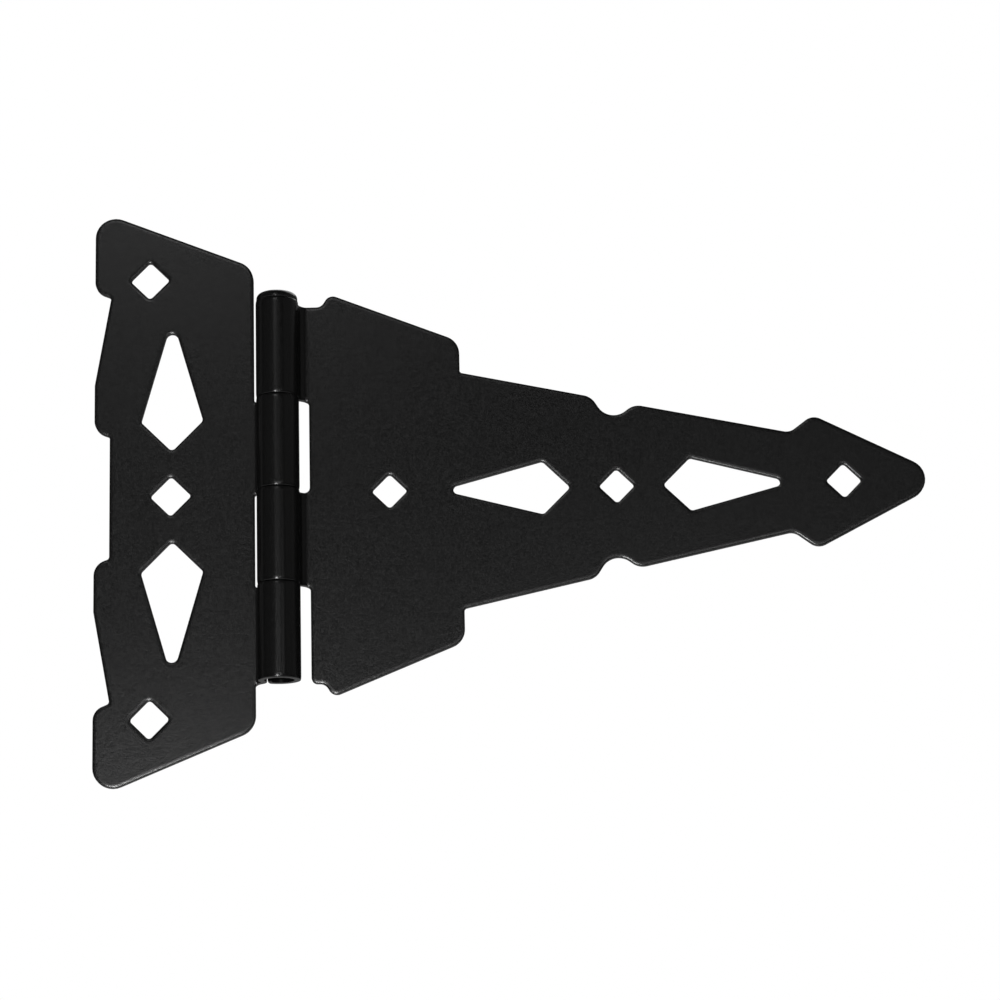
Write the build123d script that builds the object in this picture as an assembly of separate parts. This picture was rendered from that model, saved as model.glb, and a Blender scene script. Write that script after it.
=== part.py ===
"""Ornamental tee hinge, opened flat: a post leaf, a long strap leaf and the pin through their knuckles.

Frame: the pin axis is vertical (Z) and the strap points along +X. Y = 0 is the mounting plane, on
which both leaves lie with their backs, and their faces look towards -Y. Z = 0 is level with the
middle bolt holes of both leaves, and X = 0 lies behind the pin axis.
"""
import os
from math import acos, atan2, cos, isclose, sin, sqrt, tau

from build123d import *

# Sheet and rolled barrel
sheet = 2.1
barrel_radius = 6.75
barrel_top = 61.4
barrel_bottom = -60.4
joint_heights = (29.95, 0.1, -29.95)
joint_gap = 0.3
seam_gap = 0.5
edge_break = 0.3
rim_break = 0.3

# Pin
pin_clearance = 0.1
pin_recess = 2.6
pin_point = 0.8
head_radius = 6.5
head_height = 2.5
head_round = 1.9
head_gap = 0.15

# Post leaf: distances from the pin axis, then steps along its half outline
post_edge = 7.8
post_width = 50.5
post_bend = 1.6
post_notch_round = 1.0
waist_half = 19.75
waist_depth = 4.85
foot_drop = 1.7
wing_length = 15.15
neck_length = 29.0
neck_depth = 5.15
lobe_drop = 2.1
horn_length = 27.4
post_shoulder_half = 74.65
neck_round = 1.1
foot_round = 5.0
wing_round = 1.9
lobe_round = 4.6
horn_round = 6.4
shoulder_round = 6.6

# Strap leaf: steps along its half outline from the barrel to the tip
strap_edge = 9.6
strap_bend = 2.65
strap_notch_round = 1.8
strap_foot_round = 1.9
knuckle_step = 7.0
knuckle_step_round = 0.5
root_half = 60.8
root_length = 4.15
tip_rise = 4.2
tip_length = 2.6
butterfly_length = 41.15
butterfly_slope = 16.5
step_depth = 10.4
blade_length = 41.4
blade_half = 29.2
notch_length = 5.6
notch_depth = 8.9
spear_step = 7.9
spear_half = 26.3
spear_length = 48.9
spear_taper = 10.3
point_step = 7.4
point_rise = 5.5
point_length = 42.1
root_round = 2.85
butterfly_round = 2.8
strap_shoulder_round = 6.0
step_round = 0.9
blade_round = 5.5
notch_round = 5.8
spear_round = 5.6
spear_notch_round = 4.2
point_round = 4.4
tip_round = 6.3

# Square bolt holes that stand on a corner, and the kites between them
post_middle_hole = 9.4
post_outer_hole = 9.05
post_middle_hole_x = 34.2
post_outer_hole_x = 40.8
strap_hole = 8.15
first_strap_hole = 34.7
hole_round = 1.15
post_kite_x = 33.8
post_kite_start = 14.45
post_kite_blunt = 9.85
post_kite_point = 34.1
post_kite_half = 9.85
post_kite_to_hole = 12.55
strap_kite_blunt = 8.75
strap_kite_point = 32.6
strap_kite_half = 8.65
point_bar = 15.7
blunt_bar = 14.45
kite_blunt_round = 1.4
kite_side_round = 1.5
post_kite_point_round = 2.0
strap_kite_point_round = 1.5

# Worked out from the sizes above
axis = Vector(0, -barrel_radius)
bore_radius = barrel_radius - sheet
pin_radius = bore_radius - pin_clearance
far = 3 * barrel_radius


def knuckle_ends():
    """Heights (low, high) of the four knuckles, from the top one down."""
    highs = [barrel_top] + [z - joint_gap / 2 for z in joint_heights]
    lows = [z + joint_gap / 2 for z in joint_heights] + [barrel_bottom]
    return list(zip(lows, highs))


def below(corners):
    """The corners of an upper half outline mirrored about mid height, in running order."""
    return [(x, -z, radius) for x, z, radius in reversed(corners)]


def plate(corners, holes):
    """Pierced sheet whose outline has the given corners (x, z, radius), its sheared face edges broken."""
    points = [(x, z) for x, z, radius in corners]
    radii = [radius for x, z, radius in corners]
    outline = make_face(Plane.XZ * FilletPolyline(*points, radius=radii, close=True))
    blank = extrude(outline, amount=sheet, dir=(0, -1, 0)) - holes
    return chamfer(blank.faces().sort_by(Axis.Y)[0].edges(), edge_break)


def square_hole(x, z, side):
    """Cutter for a square hole that stands on one corner."""
    square = Plane.XZ * Pos(x, z) * Rot(0, 0, 45) * RectangleRounded(side, side, hole_round)
    return extrude(square, amount=far, both=True)


def kite_hole(place, blunt, point, half, point_round):
    """Cutter for a kite that starts at a place and runs along its X: a blunt end, then a long point."""
    corners = [(0, 0), (blunt, half), (blunt + point, 0), (blunt, -half)]
    radii = [kite_blunt_round, kite_side_round, point_round, kite_side_round]
    kite = make_face(Plane.XZ * place * FilletPolyline(*corners, radius=radii, close=True))
    return extrude(kite, amount=far, both=True)


def arc_through(centre, radius, start, sweep):
    """Arc about centre from the start angle over the sweep, in radians."""
    angles = (start, start + sweep / 2, start + sweep)
    return ThreePointArc(*[centre + radius * Vector(cos(angle), sin(angle)) for angle in angles])


def roll_section(bend, edge):
    """Section of a knuckle on the +X side: out of the plate, round a small bend and once round the pin.

    The bend is tangent to the plate's face and to the roll. The roll's free end stops at the seam gap
    from the back of the bend.
    """
    centre = Vector(sqrt((barrel_radius + bend) ** 2 - (bore_radius - bend) ** 2), -sheet - bend)
    span = barrel_radius + bend
    start = atan2(centre.Y - axis.Y, centre.X)
    clear = bend + sheet + seam_gap
    seam = acos((span**2 + barrel_radius**2 - clear**2) / (2 * span * barrel_radius))
    sweep = seam - tau
    turn = tau / 4 + start
    inside = edge + sheet
    outer_line = [
        Line((inside, -sheet), (centre.X, -sheet)),
        arc_through(centre, bend, tau / 4, turn),
        arc_through(axis, barrel_radius, start, sweep),
    ]
    inner_line = [
        arc_through(axis, bore_radius, start + sweep, -sweep),
        arc_through(centre, bend + sheet, start + tau / 2, -turn),
        Line((centre.X, 0), (inside, 0)),
    ]
    free_end = Line(outer_line[-1] @ 1, inner_line[0] @ 0)
    plate_end = Line(inner_line[-1] @ 1, outer_line[0] @ 0)
    return make_face(outer_line + [free_end] + inner_line + [plate_end])


def notch(low, high, edge, corner):
    """Cutter that clears the barrel between two heights, up to the plate's edge, with round corners there."""
    width = edge + far
    opening = Pos(edge - width / 2, (low + high) / 2) * RectangleRounded(width, high - low, corner)
    return extrude(Plane.XZ * opening, amount=far, both=True)


def root_step():
    """Cutter that lowers the first knuckle's bend to the root's upper edge, with a round inner corner."""
    opening = Pos(knuckle_step + far / 2, root_half + far / 2) * RectangleRounded(far, far, knuckle_step_round)
    return extrude(Plane.XZ * opening, amount=far, both=True)


def knuckles(bend, edge, low, notches):
    """Bend and roll from a height up to the top of the barrel, less the notches, with broken rims."""
    section = Pos(0, 0, low) * roll_section(bend, edge)
    roll = extrude(section, amount=barrel_top - low, dir=(0, 0, 1)) - notches
    arcs = roll.edges().filter_by(GeomType.CIRCLE)
    rims = [arc for arc in arcs if isclose(arc.radius, barrel_radius, rel_tol=1e-6)]
    return chamfer(rims, rim_break)


def post_leaf():
    """Crossbar plate with the second and fourth knuckles, drawn on the +X side and mirrored to -X."""
    outer = post_edge + post_width
    foot = waist_half + foot_drop
    wing = foot + wing_length
    neck = wing + neck_length
    lobe = neck + lobe_drop
    upper = [
        (outer - waist_depth, waist_half, neck_round),
        (outer, foot, foot_round),
        (outer, wing, wing_round),
        (outer - neck_depth, neck, neck_round),
        (outer, lobe, lobe_round),
        (outer, lobe + horn_length, horn_round),
        (post_edge, post_shoulder_half, shoulder_round),
    ]
    kite_end = post_kite_start + post_kite_blunt + post_kite_point
    holes = [square_hole(post_middle_hole_x, 0, post_middle_hole)]
    for side in (1, -1):
        holes.append(square_hole(post_outer_hole_x, side * (kite_end + post_kite_to_hole), post_outer_hole))
        upright = Pos(post_kite_x, side * post_kite_start) * Rot(0, 0, side * 90)
        holes.append(kite_hole(upright, post_kite_blunt, post_kite_point, post_kite_half,
                               post_kite_point_round))
    first, second, third, fourth = knuckle_ends()
    spans = [(second[1], barrel_top + far), (fourth[1], second[0]), (barrel_bottom - far, fourth[0])]
    notches = [notch(low, high, post_edge, post_notch_round) for low, high in spans]
    leaf = plate(upper + below(upper), holes)
    leaf += knuckles(post_bend, post_edge, barrel_bottom - post_notch_round, notches)
    return mirror(leaf, about=Plane.YZ)


def strap_leaf():
    """Butterfly root, pierced blade and spear point, with the first and third knuckles."""
    root = strap_edge + root_length
    tip = root + tip_length
    shoulder = tip + butterfly_length
    blade = shoulder + blade_length
    neck = blade + notch_length
    spear = neck + spear_step
    spear_notch = spear + spear_length
    point = spear_notch + point_step
    shoulder_half = root_half + tip_rise - butterfly_slope
    spear_notch_half = spear_half - spear_taper
    upper = [
        (root, root_half, root_round),
        (tip, root_half + tip_rise, butterfly_round),
        (shoulder, shoulder_half, strap_shoulder_round),
        (shoulder, shoulder_half - step_depth, step_round),
        (blade, blade_half, blade_round),
        (neck, blade_half - notch_depth, notch_round),
        (spear, spear_half, spear_round),
        (spear_notch, spear_notch_half, spear_notch_round),
        (point, spear_notch_half + point_rise, point_round),
    ]
    end = [(point + point_length, 0, tip_round)]
    root_end = [(strap_edge, -root_half, strap_foot_round), (strap_edge, root_half, 0)]
    kite_length = strap_kite_point + strap_kite_blunt
    middle_hole = first_strap_hole + point_bar + kite_length + blunt_bar
    holes = [square_hole(middle_hole, 0, strap_hole)]
    for side in (1, -1):
        kite_start = middle_hole + side * blunt_bar
        along = Pos(kite_start, 0) * Rot(0, 0, 90 - side * 90)
        holes.append(square_hole(kite_start + side * (kite_length + point_bar), 0, strap_hole))
        holes.append(kite_hole(along, strap_kite_blunt, strap_kite_point, strap_kite_half,
                               strap_kite_point_round))
    first, second, third, fourth = knuckle_ends()
    spans = [(third[1], first[0]), (barrel_bottom - far, third[0])]
    notches = [notch(low, high, strap_edge, strap_notch_round) for low, high in spans]
    leaf = plate(upper + end + below(upper) + root_end, holes)
    return leaf + (knuckles(strap_bend, strap_edge, barrel_bottom, notches) - root_step())


def hinge_pin():
    """Pin turned about its axis: head over the first knuckle, shank down into the fourth."""
    under = barrel_top + head_gap
    crown = under + head_height
    low = barrel_bottom + pin_recess
    head = Pos(0, 0, (under + crown) / 2) * Cylinder(head_radius, head_height)
    head = fillet(head.edges().sort_by(Axis.Z)[-1], head_round)
    shank = Pos(0, 0, (low + under) / 2) * Cylinder(pin_radius, under - low)
    shank = chamfer(shank.edges().sort_by(Axis.Z)[0], pin_point)
    return Pos(axis.X, axis.Y) * (head + shank)


os.makedirs("parts", exist_ok=True)
export_step(post_leaf(), "parts/post_leaf.step")
export_step(strap_leaf(), "parts/strap_leaf.step")
export_step(hinge_pin(), "parts/hinge_pin.step")
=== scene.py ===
"""Looks of an ornamental tee hinge: two pierced leaves rolled round a pin, in black powder coat.

Sizes are in millimetres in the CAD frame and become metres when a mesh is made. Each leaf is worked out
as the flat blank that it is cut from, with its sheared edges rounded, and its tabs are then rolled.
"""

import bpy
import numpy as np
from mathutils import Matrix, Vector
from mathutils.geometry import tessellate_polygon


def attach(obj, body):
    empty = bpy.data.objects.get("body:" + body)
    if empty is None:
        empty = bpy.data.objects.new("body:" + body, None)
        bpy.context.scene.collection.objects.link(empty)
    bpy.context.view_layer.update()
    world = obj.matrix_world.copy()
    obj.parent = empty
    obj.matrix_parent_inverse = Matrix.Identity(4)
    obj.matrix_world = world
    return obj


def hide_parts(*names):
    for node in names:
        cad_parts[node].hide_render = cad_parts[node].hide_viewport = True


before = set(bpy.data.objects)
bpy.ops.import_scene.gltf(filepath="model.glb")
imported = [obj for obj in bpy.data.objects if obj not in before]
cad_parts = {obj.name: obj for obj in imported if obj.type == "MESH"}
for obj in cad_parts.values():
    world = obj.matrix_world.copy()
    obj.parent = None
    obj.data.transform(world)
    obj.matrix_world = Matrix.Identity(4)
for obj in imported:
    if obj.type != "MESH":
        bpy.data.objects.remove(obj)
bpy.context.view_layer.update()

mm = 0.001

# Sheet and rolled barrel
sheet = 2.1
barrel_radius = 6.75
barrel_top = 61.4
barrel_bottom = -60.4
joint_heights = (29.95, 0.1, -29.95)
joint_gap = 0.3
seam_gap = 0.5

# Sheared and rounded edges of the sheet
roll_over = 1.3
roll_over_depth = 0.22
back_edge = 0.12
tab_corner = 1.2

# Pin
pin_clearance = 0.1
pin_recess = 2.6
pin_point = 0.8
head_radius = 6.5
head_height = 2.5
head_round = 1.9
head_rim = 0.4
head_gap = 0.15

# Post leaf
post_edge = 7.8
post_width = 50.5
post_bend = 1.6
post_notch_round = 1.0
waist_half = 19.75
waist_depth = 4.85
foot_drop = 1.7
wing_length = 15.15
neck_length = 29.0
neck_depth = 5.15
lobe_drop = 2.1
horn_length = 27.4
post_shoulder_half = 74.65
neck_round = 1.1
foot_round = 5.0
wing_round = 1.9
lobe_round = 4.6
horn_round = 6.4
shoulder_round = 6.6

# Strap leaf
strap_edge = 9.6
strap_bend = 2.65
strap_notch_round = 1.8
strap_foot_round = 1.9
root_half = 60.8
root_length = 4.15
tip_rise = 4.2
tip_length = 2.6
butterfly_length = 41.15
butterfly_slope = 16.5
step_depth = 10.4
blade_length = 41.4
blade_half = 29.2
notch_length = 5.6
notch_depth = 8.9
spear_step = 7.9
spear_half = 26.3
spear_length = 48.9
spear_taper = 10.3
point_step = 7.4
point_rise = 5.5
point_length = 42.1
root_round = 2.85
butterfly_round = 2.8
strap_shoulder_round = 6.0
step_round = 0.9
blade_round = 5.5
notch_round = 5.8
spear_round = 5.6
spear_notch_round = 4.2
point_round = 4.4
tip_round = 6.3

# Holes and kites
post_middle_hole = 9.4
post_outer_hole = 9.05
post_middle_hole_x = 34.2
post_outer_hole_x = 40.8
strap_hole = 8.15
first_strap_hole = 34.7
hole_round = 1.15
post_kite_x = 33.8
post_kite_start = 14.45
post_kite_blunt = 9.85
post_kite_point = 34.1
post_kite_half = 9.85
post_kite_to_hole = 12.55
strap_kite_blunt = 8.75
strap_kite_point = 32.6
strap_kite_half = 8.65
point_bar = 15.7
blunt_bar = 14.45
kite_blunt_round = 1.4
kite_side_round = 1.5
post_kite_point_round = 2.0
strap_kite_point_round = 1.5

# Camera, placed in metres and turned in radians
camera_place = (0.06936, -0.9633, -0.23066)
camera_tilt = 0.2318
camera_roll = -0.0237
lens = 113.15
sensor = 36.0

# The point that the lamps light and how far they stand from it, in metres
lamp_target = Vector((0.07, 0, 0))
lamp_distance = 3.0

# Steps of the curves
corner_steps = 10
tab_steps = 90
edge_steps = 14
back_edge_steps = 4
head_steps = 9
pin_sides = 128

# Worked out from the sizes above
bore_radius = barrel_radius - sheet
pin_radius = bore_radius - pin_clearance
quarter = np.pi / 2


def unit(vectors):
    """Vectors divided by their lengths."""
    return vectors / np.linalg.norm(vectors, axis=-1, keepdims=True)


def rounded(corners, before, after):
    """Points (x, z) of a run of corners (x, z, radius), each rounded by the arc that touches both its sides.

    The arc starts radius * tan(turn / 2) before the corner. Its centre lies one radius from that start
    towards the inside of the turn, and equal steps of angle about it give the points.
    """
    corners = np.array(corners)
    places = np.vstack([before, corners[:, :2], after])
    runs = unit(np.diff(places, axis=0))
    behind, ahead = runs[:-1], runs[1:]
    cross = behind[:, 0] * ahead[:, 1] - behind[:, 1] * ahead[:, 0]
    turn = np.arctan2(cross, (behind * ahead).sum(axis=1))
    radius = corners[:, 2]
    start = corners[:, :2] - behind * (radius * np.tan(np.abs(turn) / 2))[:, None]
    inward = np.stack([-behind[:, 1], behind[:, 0]], axis=1) * np.sign(turn)[:, None]
    centre = start + inward * radius[:, None]
    first = np.arctan2(-inward[:, 1], -inward[:, 0])
    angle = first[:, None] + turn[:, None] * np.linspace(0, 1, corner_steps + 1)
    around = np.stack([np.cos(angle), np.sin(angle)], axis=2)
    return (centre[:, None] + radius[:, None, None] * around).reshape(-1, 2)


def closed(corners):
    """Rounded outline of a closed ring of corners."""
    return rounded(corners, corners[-1][:2], corners[0][:2])


def below(corners):
    """The corners of an upper half outline mirrored about mid height, in running order."""
    return [(x, -z, radius) for x, z, radius in reversed(corners)]


def square_hole(x, z, side):
    """Outline of a square hole that stands on one corner, run so that the sheet is on its right."""
    half = side / np.sqrt(2)
    return closed([(x + half, z, hole_round), (x, z + half, hole_round),
                   (x - half, z, hole_round), (x, z - half, hole_round)])


def kite_hole(start, along, blunt, point, half, point_round):
    """Outline of a kite that runs along a direction from its blunt corner, with the sheet on its right."""
    along = np.array(along)
    across = np.array([-along[1], along[0]])
    reach = [(0, 0, kite_blunt_round), (blunt, -half, kite_side_round),
             (blunt + point, 0, point_round), (blunt, half, kite_side_round)]
    return closed([(*(np.array(start) + a * along + b * across), radius) for a, b, radius in reach])


def bend_sizes(bend):
    """Bend centre (x, y), the bend's turn, the angle where the roll starts and how far it goes round the pin.

    The bend's centre lies one bend radius in front of the plate and barrel_radius + bend from the pin's
    axis. The roll starts in the direction of that centre. By the cosine rule it ends where its outer corner
    is seam_gap short of the back of the bend.
    """
    centre = np.array([np.sqrt((barrel_radius + bend) ** 2 - (bore_radius - bend) ** 2), -sheet - bend])
    start = np.arctan2(centre[1] + barrel_radius, centre[0])
    span = barrel_radius + bend
    clear = bend + sheet + seam_gap
    seam = np.arccos((span**2 + barrel_radius**2 - clear**2) / (2 * span * barrel_radius))
    return centre, quarter + start, start, 2 * np.pi - seam


def tab(low, high, edge, bend, corner, plate_high=None):
    """Sides of one tab in the flat blank: out along its lower side and back along its upper side.

    Each side runs through a hollow corner off the plate's edge, straight along the tab and round a corner
    at its free end. The distance that a side moves from the tab's height is one radius less a cosine or
    sine of the corner's angle. A tab at the end of the barrel has no hollow corner above: its upper side
    starts at the plate's height and climbs to its own through the bend, by 3 t^2 - 2 t^3 of the way.
    """
    centre, turn, _, sweep = bend_sizes(bend)
    end = centre[0] - bend * turn - barrel_radius * sweep
    angle = np.linspace(0, quarter, corner_steps + 1)
    straight = np.linspace(edge - corner, end + tab_corner, tab_steps + 1)[1:-1]
    x = np.concatenate([edge - corner + corner * np.cos(angle), straight,
                        end + tab_corner - tab_corner * np.sin(angle)])
    rise = np.concatenate([-corner + corner * np.sin(angle), 0 * straight,
                           tab_corner - tab_corner * np.cos(angle)])
    above = rise
    if plate_high is not None:
        part = np.clip((centre[0] - x) / (bend * turn), 0, 1)
        above = np.maximum(rise, 0) + (high - plate_high) * (1 - (3 * part**2 - 2 * part**3))
    lower = np.stack([x, low + rise], axis=1)
    upper = np.stack([x, high - above], axis=1)
    return np.vstack([lower, upper[::-1]])


def outward(loop):
    """Unit normals on the left of a loop, each side weighted by its length."""
    side = np.roll(loop, -1, axis=0) - loop
    both = side + np.roll(side, 1, axis=0)
    return unit(np.stack([-both[:, 1], both[:, 0]], axis=1))


def edge_section():
    """Section of a sheared edge, from the face round its roll-over, down the wall and round to the back.

    The roll-over is a quarter of an ellipse: for an angle t from 0 to a quarter turn it lies
    roll_over * (1 - sin t) inside the outline and roll_over_depth * (1 - cos t) below the face, and its
    normal is (roll_over_depth * sin t, roll_over * cos t), outward and forward, made a unit long. The back
    edge is a small quarter circle. Returns inset, depth, outward and forward parts for each point.
    """
    front = quarter * np.linspace(0, 1, edge_steps)
    back = quarter * np.linspace(1, 2, back_edge_steps)
    inset = np.concatenate([roll_over * (1 - np.sin(front)), back_edge * (1 - np.sin(back))])
    depth = np.concatenate([roll_over_depth * (1 - np.cos(front)), sheet - back_edge * (1 + np.cos(back))])
    lean = np.stack([roll_over_depth * np.sin(front), roll_over * np.cos(front)], axis=1)
    out, forward = np.vstack([unit(lean), np.stack([np.sin(back), np.cos(back)], axis=1)]).T
    return inset, depth, out, forward


def roll_up(x, depth, out_x, forward, bend):
    """Places and normals of blank points once the tabs are rolled.

    The run s past the bend's start turns the sheet by s / bend up to the bend's turn, then back by
    s / barrel_radius round the pin. In the bend a point lies bend + depth from the bend's centre, and in the
    roll barrel_radius - depth from the pin's axis.
    """
    centre, turn, start, _ = bend_sizes(bend)
    run = np.maximum(centre[0] - x, 0)
    bent = np.minimum(run / bend, turn)
    wound = np.maximum(run - bend * turn, 0) / barrel_radius
    heading = bent - wound
    place = np.stack([np.maximum(x, centre[0]), depth - sheet], axis=-1)
    in_bend = centre + (bend + depth)[..., None] * np.stack([-np.sin(bent), np.cos(bent)], axis=-1)
    round_pin = np.array([0, -barrel_radius]) + (barrel_radius - depth)[..., None] * np.stack(
        [np.cos(start - wound), np.sin(start - wound)], axis=-1)
    place = np.where((run > 0)[..., None], in_bend, place)
    place = np.where((wound > 0)[..., None], round_pin, place)
    along = np.stack([np.cos(heading), np.sin(heading)], axis=-1)
    facing = np.stack([np.sin(heading), -np.cos(heading)], axis=-1)
    normal = out_x[..., None] * along + forward[..., None] * facing
    return place, normal


def facing_front(loops, triangles):
    """Triangles of the flat loops turned so that each runs anticlockwise in x and z."""
    points = np.vstack(loops)[triangles]
    first, second = points[:, 1] - points[:, 0], points[:, 2] - points[:, 0]
    area = first[:, 0] * second[:, 1] - first[:, 1] * second[:, 0]
    return np.where((area > 0)[:, None], triangles, triangles[:, ::-1])


def make_object(name, body, places, normals, faces):
    """Mesh object from places in millimetres, a normal for each and faces, which rides on a body."""
    mesh = bpy.data.meshes.new(name)
    mesh.from_pydata((places * mm).tolist(), [], faces)
    mesh.polygons.foreach_set("use_smooth", np.ones(len(mesh.polygons), dtype=bool))
    mesh.normals_split_custom_set_from_vertices(unit(normals).tolist())
    mesh.materials.append(powder_coat)
    piece = bpy.data.objects.new(name, mesh)
    bpy.context.scene.collection.objects.link(piece)
    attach(piece, body)
    return piece


def blank(ornament, tabs, holes):
    """Loops of the flat blank, the points of the plate's outline, and the strips of the tabs.

    The outline runs clockwise: the ornament and then the tabs from the bottom up. The plate is cut off from
    the tabs at its edge, and each tab is a ladder of strips between its two sides.
    """
    loops = [np.vstack([ornament] + tabs)] + holes
    plate = np.arange(len(ornament))
    strips = []
    first = len(ornament)
    for sides in tabs:
        count = len(sides) // 2
        out = first + np.arange(count)
        back = first + 2 * count - 1 - np.arange(count)
        strips.append(np.stack([out[:-1], back[:-1], back[1:], out[1:]], axis=1))
        plate = np.append(plate, [out[0], back[0]])
        first += 2 * count
    return loops, plate, np.vstack(strips)


def carry_edge(loops):
    """The edge section set up at each point of the loops, square to them.

    Returns the places (x, z) in the blank, the depths, and the x, z and forward parts of the normals. Each
    point lies its inset inside the loop, and its outward part points along the loop's own normal.
    """
    inset, depth, out, forward = edge_section()
    sections = []
    for loop in loops:
        normal = outward(loop)
        flat = loop[:, None] - inset[:, None] * normal[:, None]
        out_x, out_z = normal[:, :1] * out, normal[:, 1:] * out
        sections.append((flat, depth + 0 * out_x, out_x, out_z, forward + 0 * out_x))
    return [np.vstack(part) for part in zip(*sections)]


def edge_faces(loops, rows):
    """Faces between neighbouring edge sections round each loop, for sections of that many rows of points."""
    row = np.arange(rows - 1)
    faces = []
    first = 0
    for loop in loops:
        here = (first + np.arange(len(loop)))[:, None] * rows + row
        there = np.roll(here, -1, axis=0)
        faces.append(np.stack([here, there, there + 1, here + 1], axis=2).reshape(-1, 4))
        first += len(loop)
    return np.vstack(faces)


def front_and_back(flat, loops, plate, strips):
    """Faces of the front and the back: the plate filled round its holes, and the strips of the tabs."""
    rows = flat.shape[1]
    starts = np.cumsum([len(loop) for loop in loops])
    outlines = [plate] + [start + np.arange(len(hole)) for start, hole in zip(starts, loops[1:])]
    order = np.concatenate(outlines)
    faces = []
    for row, way in ((0, 1), (rows - 1, -1)):
        rims = [flat[outline, row] for outline in outlines]
        triangles = np.array(tessellate_polygon([[Vector((*point, 0)) for point in rim] for rim in rims]))
        triangles = order[facing_front(rims, triangles)]
        faces.append((triangles * rows + row)[:, ::way])
        faces.append((strips * rows + row)[:, ::way])
    return faces


def leaf(name, body, ornament, tabs, holes, bend, mirrored):
    """One leaf: the edge section carried round its blank, the two faces filled, and the tabs then rolled."""
    loops, plate, strips = blank(ornament, tabs, holes)
    flat, depth, out_x, out_z, forward = carry_edge(loops)
    place, normal = roll_up(flat[..., 0], depth, out_x, forward, bend)
    places = np.stack([place[..., 0], place[..., 1], flat[..., 1]], axis=-1).reshape(-1, 3)
    normals = np.stack([normal[..., 0], normal[..., 1], out_z], axis=-1).reshape(-1, 3)
    parts = [edge_faces(loops, flat.shape[1])] + front_and_back(flat, loops, plate, strips)
    faces = [face.tolist() for part in parts for face in part]
    if mirrored:
        places[:, 0] *= -1
        normals[:, 0] *= -1
        faces = [face[::-1] for face in faces]
    return make_object(name, body, places, normals, faces)


def knuckle_ends():
    """Heights (low, high) of the four knuckles, from the top one down."""
    highs = [barrel_top] + [z - joint_gap / 2 for z in joint_heights]
    lows = [z + joint_gap / 2 for z in joint_heights] + [barrel_bottom]
    return list(zip(lows, highs))


def post_leaf():
    """Crossbar leaf with the second and fourth knuckles, worked out on the +X side and mirrored."""
    outer = post_edge + post_width
    foot = waist_half + foot_drop
    wing = foot + wing_length
    neck = wing + neck_length
    lobe = neck + lobe_drop
    upper = [
        (post_edge, post_shoulder_half, shoulder_round),
        (outer, lobe + horn_length, horn_round),
        (outer, lobe, lobe_round),
        (outer - neck_depth, neck, neck_round),
        (outer, wing, wing_round),
        (outer, foot, foot_round),
        (outer - waist_depth, waist_half, neck_round),
    ]
    ornament = rounded(upper + below(upper), (post_edge, 0), (post_edge, 0))
    _, second, _, fourth = knuckle_ends()
    tabs = [tab(low, high, post_edge, post_bend, post_notch_round) for low, high in (fourth, second)]
    kite_end = post_kite_start + post_kite_blunt + post_kite_point
    holes = [square_hole(post_middle_hole_x, 0, post_middle_hole)]
    for side in (1, -1):
        holes.append(square_hole(post_outer_hole_x, side * (kite_end + post_kite_to_hole), post_outer_hole))
        holes.append(kite_hole((post_kite_x, side * post_kite_start), (0, side), post_kite_blunt,
                               post_kite_point, post_kite_half, post_kite_point_round))
    piece = leaf("crossbar_leaf", "post", ornament, tabs, holes, post_bend, True)
    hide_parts("post_leaf")


def strap_leaf():
    """Long leaf with its butterfly root, blade and spear point, and the first and third knuckles."""
    root = strap_edge + root_length
    tip = root + tip_length
    shoulder = tip + butterfly_length
    blade = shoulder + blade_length
    neck = blade + notch_length
    spear = neck + spear_step
    spear_notch = spear + spear_length
    point = spear_notch + point_step
    shoulder_half = root_half + tip_rise - butterfly_slope
    spear_notch_half = spear_half - spear_taper
    upper = [
        (root, root_half, root_round),
        (tip, root_half + tip_rise, butterfly_round),
        (shoulder, shoulder_half, strap_shoulder_round),
        (shoulder, shoulder_half - step_depth, step_round),
        (blade, blade_half, blade_round),
        (neck, blade_half - notch_depth, notch_round),
        (spear, spear_half, spear_round),
        (spear_notch, spear_notch_half, spear_notch_round),
        (point, spear_notch_half + point_rise, point_round),
    ]
    end = [(point + point_length, 0, tip_round)]
    foot = [(strap_edge, -root_half, strap_foot_round)]
    ornament = rounded(upper + end + below(upper) + foot, (strap_edge, root_half), (strap_edge, 0))
    first, _, third, _ = knuckle_ends()
    tabs = [tab(*third, strap_edge, strap_bend, strap_notch_round),
            tab(*first, strap_edge, strap_bend, strap_notch_round, plate_high=root_half)]
    kite_length = strap_kite_point + strap_kite_blunt
    middle_hole = first_strap_hole + point_bar + kite_length + blunt_bar
    holes = [square_hole(middle_hole, 0, strap_hole)]
    for side in (1, -1):
        kite_start = middle_hole + side * blunt_bar
        holes.append(square_hole(kite_start + side * (kite_length + point_bar), 0, strap_hole))
        holes.append(kite_hole((kite_start, 0), (side, 0), strap_kite_blunt, strap_kite_point,
                               strap_kite_half, strap_kite_point_round))
    piece = leaf("spear_leaf", "strap", ornament, tabs, holes, strap_bend, False)
    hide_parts("strap_leaf")


def rounded_rim(radius, end, size, up):
    """Profile rows (radius, height, outward, upward) of a rim's quarter round, from its side to its end.

    For an angle a from 0 to a quarter turn it lies size * (1 - cos a) inside the radius and
    size * (1 - sin a) short of the end, and its normal is (cos a, sin a), upward or downward.
    """
    a = np.linspace(0, quarter, head_steps)
    return np.stack([radius - size * (1 - np.cos(a)), end - up * size * (1 - np.sin(a)),
                     np.cos(a), up * np.sin(a)], axis=1)


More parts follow.
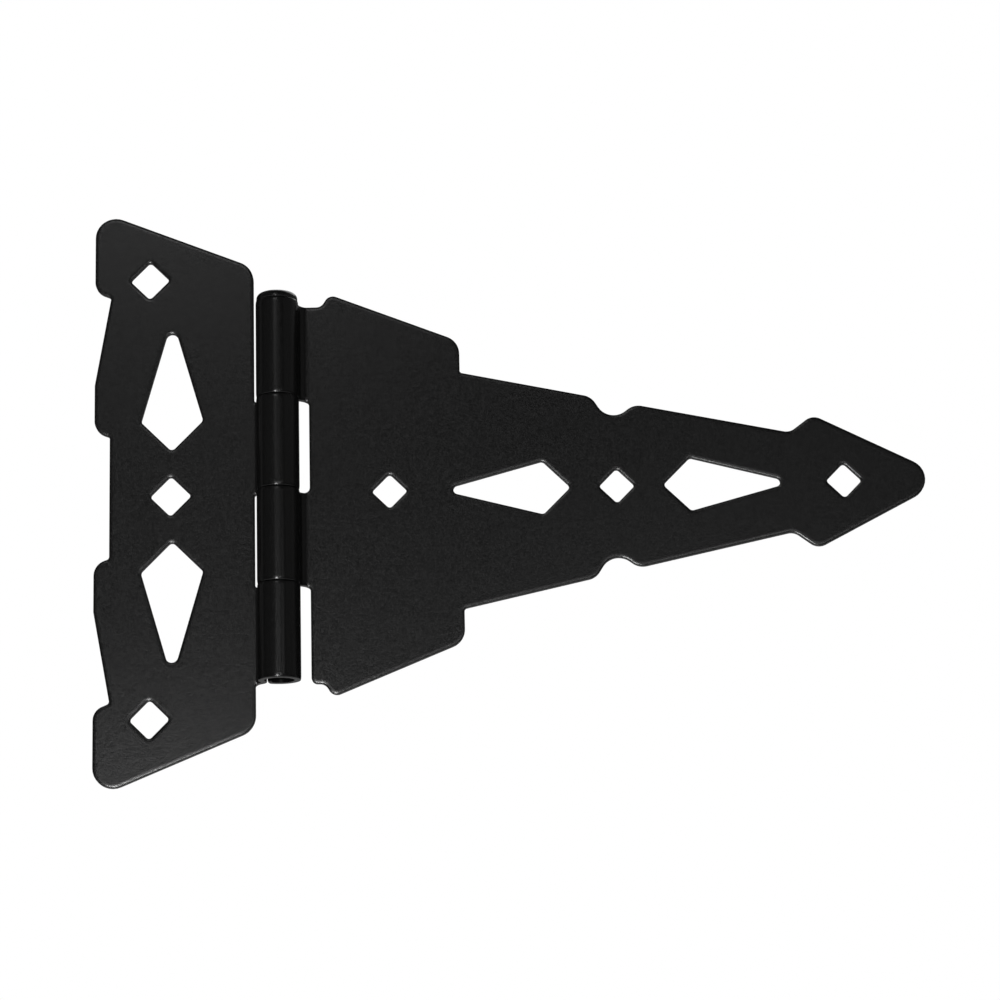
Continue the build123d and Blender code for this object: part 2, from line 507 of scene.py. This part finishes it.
def turned(profile):
    """Places, normals and faces of a profile (radius, height, outward, upward) turned about the pin's axis.

    At each equal step of angle a point lies radius * cos angle in x and radius * sin angle in y from the
    axis, and the outward part of its normal turns with it. A fan of triangles closes each end.
    """
    angle = np.linspace(0, 2 * np.pi, pin_sides, endpoint=False)
    radius, height, out, up = profile.T[:, :, None] + 0 * angle
    places = np.stack([radius * np.cos(angle), radius * np.sin(angle) - barrel_radius, height], axis=2)
    normals = np.stack([out * np.cos(angle), out * np.sin(angle), up], axis=2)
    places, normals = places.reshape(-1, 3), normals.reshape(-1, 3)
    foot, crown = len(places), len(places) + 1
    places = np.vstack([places, [(0, -barrel_radius, z) for z in (profile[0, 1], profile[-1, 1])]])
    normals = np.vstack([normals, [(0, 0, -1), (0, 0, 1)]])
    here = np.arange(pin_sides)
    there = np.roll(here, -1)
    row = np.arange(len(profile) - 1)[:, None] * pin_sides
    sides = np.stack([row + here, row + there, row + pin_sides + there, row + pin_sides + here], axis=2)
    last = (len(profile) - 1) * pin_sides
    faces = sides.reshape(-1, 4).tolist()
    faces += np.stack([there, here, 0 * here + foot], axis=1).tolist()
    faces += np.stack([last + here, last + there, 0 * here + crown], axis=1).tolist()
    return places, normals, faces


def hinge_pin():
    """Pin with a bevelled lower end and a low round head.

    The shank's corners are two equal rows with two normals, which keeps them sharp.
    """
    under = barrel_top + head_gap
    low = barrel_bottom + pin_recess
    shank = [
        (pin_radius - pin_point, low, 0, -1),
        (pin_radius - pin_point, low, 1, -1),
        (pin_radius, low + pin_point, 1, -1),
        (pin_radius, low + pin_point, 1, 0),
        (pin_radius, under, 1, 0),
        (pin_radius, under, 0, -1),
    ]
    rim = rounded_rim(head_radius, under, head_rim, -1)
    crown = rounded_rim(head_radius, under + head_height, head_round, 1)
    piece = make_object("barrel_pin", "post", *turned(np.vstack([shank, rim[::-1], crown])))
    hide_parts("hinge_pin")


def add_node(tree, kind, inputs=None, **settings):
    """Node of a kind with its settings and input values given."""
    node = tree.nodes.new(kind)
    for key, value in settings.items():
        setattr(node, key, value)
    for key, value in (inputs or {}).items():
        node.inputs[key].default_value = value
    return node


def make_powder_coat():
    """Black powder coat: a soft orange peel in its bump, and a fine grain in its bump, colour and gloss."""
    material = bpy.data.materials.new("powder_coat")
    material.use_nodes = True
    tree = material.node_tree
    link = tree.links.new
    shader = tree.nodes["Principled BSDF"]
    shader.inputs["IOR"].default_value = 1.5
    place = add_node(tree, "ShaderNodeTexCoord")
    peel = add_node(tree, "ShaderNodeTexNoise", {"Scale": 700.0, "Detail": 2.0, "Roughness": 0.5})
    grain = add_node(tree, "ShaderNodeTexNoise", {"Scale": 1700.0, "Detail": 2.0, "Roughness": 0.7})
    spread = {"From Min": 0.3, "From Max": 0.7}
    black = add_node(tree, "ShaderNodeMapRange", {**spread, "To Min": 0.004, "To Max": 0.006})
    gloss = add_node(tree, "ShaderNodeMapRange", {**spread, "To Min": 0.17, "To Max": 0.26})
    coarse = add_node(tree, "ShaderNodeBump", {"Strength": 0.05, "Distance": 0.0002})
    fine = add_node(tree, "ShaderNodeBump", {"Strength": 0.4, "Distance": 0.00005})
    for noise in (peel, grain):
        link(place.outputs["Object"], noise.inputs["Vector"])
    for span in (black, gloss):
        link(grain.outputs["Fac"], span.inputs["Value"])
    link(black.outputs["Result"], shader.inputs["Base Color"])
    link(gloss.outputs["Result"], shader.inputs["Roughness"])
    link(peel.outputs["Fac"], coarse.inputs["Height"])
    link(grain.outputs["Fac"], fine.inputs["Height"])
    link(coarse.outputs["Normal"], fine.inputs["Normal"])
    link(fine.outputs["Normal"], shader.inputs["Normal"])
    return material


def make_camera():
    """Camera below and in front of the hinge, tilted up and rolled a little, as the photograph was taken."""
    ahead = Vector((0, np.cos(camera_tilt), np.sin(camera_tilt)))
    across = Vector((1, 0, 0))
    up = across.cross(ahead)
    right = np.cos(camera_roll) * across + np.sin(camera_roll) * up
    up = np.cos(camera_roll) * up - np.sin(camera_roll) * across
    data = bpy.data.cameras.new("camera")
    data.lens = lens
    data.sensor_width = sensor
    data.clip_start = 0.01
    camera = bpy.data.objects.new("camera", data)
    axes = Matrix([right, up, -ahead]).transposed().to_4x4()
    camera.matrix_world = Matrix.Translation(camera_place) @ axes
    bpy.context.scene.collection.objects.link(camera)
    bpy.context.scene.camera = camera


def make_lamp(name, azimuth, elevation, wide, tall, radiance, shines=True):
    """Soft rectangular lamp by its direction and its apparent size, both in degrees.

    Azimuth 0 is straight in front of the plates and 90 is to their right. The power is pi times the lamp's
    area times its radiance. A lamp that doesn't shine lights the colour and makes no highlight.
    """
    turn, rise = np.radians(azimuth), np.radians(elevation)
    away = Vector((np.sin(turn) * np.cos(rise), -np.cos(turn) * np.cos(rise), np.sin(rise)))
    data = bpy.data.lights.new(name, "AREA")
    data.shape = "RECTANGLE"
    data.size = 2 * lamp_distance * np.tan(np.radians(wide / 2))
    data.size_y = 2 * lamp_distance * np.tan(np.radians(tall / 2))
    data.energy = np.pi * data.size * data.size_y * radiance
    lamp = bpy.data.objects.new(name, data)
    lamp.location = lamp_target + lamp_distance * away
    lamp.rotation_euler = (-away).to_track_quat("-Z", "Y").to_euler()
    lamp.visible_camera = False
    lamp.visible_glossy = shines
    bpy.context.scene.collection.objects.link(lamp)


def make_world():
    """White to the camera. For light, a dim room that is a little brighter behind the hinge."""
    world = bpy.data.worlds.new("studio")
    bpy.context.scene.world = world
    world.use_nodes = True
    tree = world.node_tree
    link = tree.links.new
    room = tree.nodes["Background"]
    room.inputs["Color"].default_value = (1, 1, 1, 1)
    place = add_node(tree, "ShaderNodeTexCoord")
    parts = add_node(tree, "ShaderNodeSeparateXYZ")
    backdrop = add_node(tree, "ShaderNodeMapRange", {"From Min": -0.15, "From Max": 0.15,
                                                    "To Min": 0.005, "To Max": 0.13},
                        interpolation_type="SMOOTHSTEP")
    white = add_node(tree, "ShaderNodeBackground", {"Color": (1, 1, 1, 1), "Strength": 1.0})
    path = add_node(tree, "ShaderNodeLightPath")
    choose = add_node(tree, "ShaderNodeMixShader")
    link(place.outputs["Generated"], parts.inputs["Vector"])
    link(parts.outputs["Y"], backdrop.inputs["Value"])
    link(backdrop.outputs["Result"], room.inputs["Strength"])
    link(path.outputs["Is Camera Ray"], choose.inputs["Fac"])
    link(room.outputs["Background"], choose.inputs[1])
    link(white.outputs["Background"], choose.inputs[2])
    link(choose.outputs["Shader"], tree.nodes["World Output"].inputs["Surface"])


def make_floor():
    """Plain pale floor under the hinge, in metres. It fades out at its rim and shows from above only."""
    half = 1.5
    height = -0.3
    mesh = bpy.data.meshes.new("floor")
    mesh.from_pydata([(-half, -half, height), (half, -half, height), (half, half, height),
                      (-half, half, height)], [], [(0, 1, 2, 3)])
    material = bpy.data.materials.new("pale_floor")
    material.use_nodes = True
    tree = material.node_tree
    link = tree.links.new
    matt = tree.nodes["Principled BSDF"]
    matt.inputs["Base Color"].default_value = (0.85, 0.85, 0.85, 1)
    matt.inputs["Roughness"].default_value = 0.9
    place = add_node(tree, "ShaderNodeTexCoord")
    flat = add_node(tree, "ShaderNodeVectorMath", {1: (1, 1, 0)}, operation="MULTIPLY")
    reach = add_node(tree, "ShaderNodeVectorMath", operation="LENGTH")
    fade = add_node(tree, "ShaderNodeMapRange", {"From Min": 0.5, "From Max": 1.45},
                    interpolation_type="SMOOTHSTEP")
    side = add_node(tree, "ShaderNodeNewGeometry")
    hidden = add_node(tree, "ShaderNodeMath", operation="MAXIMUM")
    clear = add_node(tree, "ShaderNodeBsdfTransparent")
    choose = add_node(tree, "ShaderNodeMixShader")
    link(place.outputs["Object"], flat.inputs[0])
    link(flat.outputs["Vector"], reach.inputs[0])
    link(reach.outputs["Value"], fade.inputs["Value"])
    link(fade.outputs["Result"], hidden.inputs[0])
    link(side.outputs["Backfacing"], hidden.inputs[1])
    link(hidden.outputs["Value"], choose.inputs["Fac"])
    link(matt.outputs["BSDF"], choose.inputs[1])
    link(clear.outputs["BSDF"], choose.inputs[2])
    link(choose.outputs["Shader"], tree.nodes["Material Output"].inputs["Surface"])
    mesh.materials.append(material)
    floor = bpy.data.objects.new("floor", mesh)
    bpy.context.scene.collection.objects.link(floor)


powder_coat = make_powder_coat()
post_leaf()
strap_leaf()
hinge_pin()
make_floor()
make_world()
make_camera()
make_lamp("under_light", -8, -14, 10, 4, 45)
make_lamp("low_light", -8, -7.5, 6, 4, 55)
make_lamp("low_right_light", 10, 0, 8, 6, 3.7)
make_lamp("middle_left_light", -8, 2.5, 6, 4, 6.5)
make_lamp("middle_light", 4, 7, 6, 5, 1.1)
make_lamp("right_light", 24, 7, 10, 5, 1.1)
make_lamp("upper_left_light", -10, 19, 10, 6, 0.33)
make_lamp("upper_right_light", 10, 16, 10, 6, 0.2)
make_lamp("high_left_light", -11, 26, 10, 6, 2.3)
make_lamp("high_middle_light", -3, 26, 6, 6, 2.4)
make_lamp("right_side_light", 65, 15, 50, 30, 0.08)
make_lamp("left_side_light", -50, 12, 50, 20, 0.04)
make_lamp("back_light", 150, 50, 50, 40, 1.5)
make_lamp("fill_light", -20, 35, 50, 40, 2.2, shines=False)
bpy.context.scene.view_settings.view_transform = "Standard"
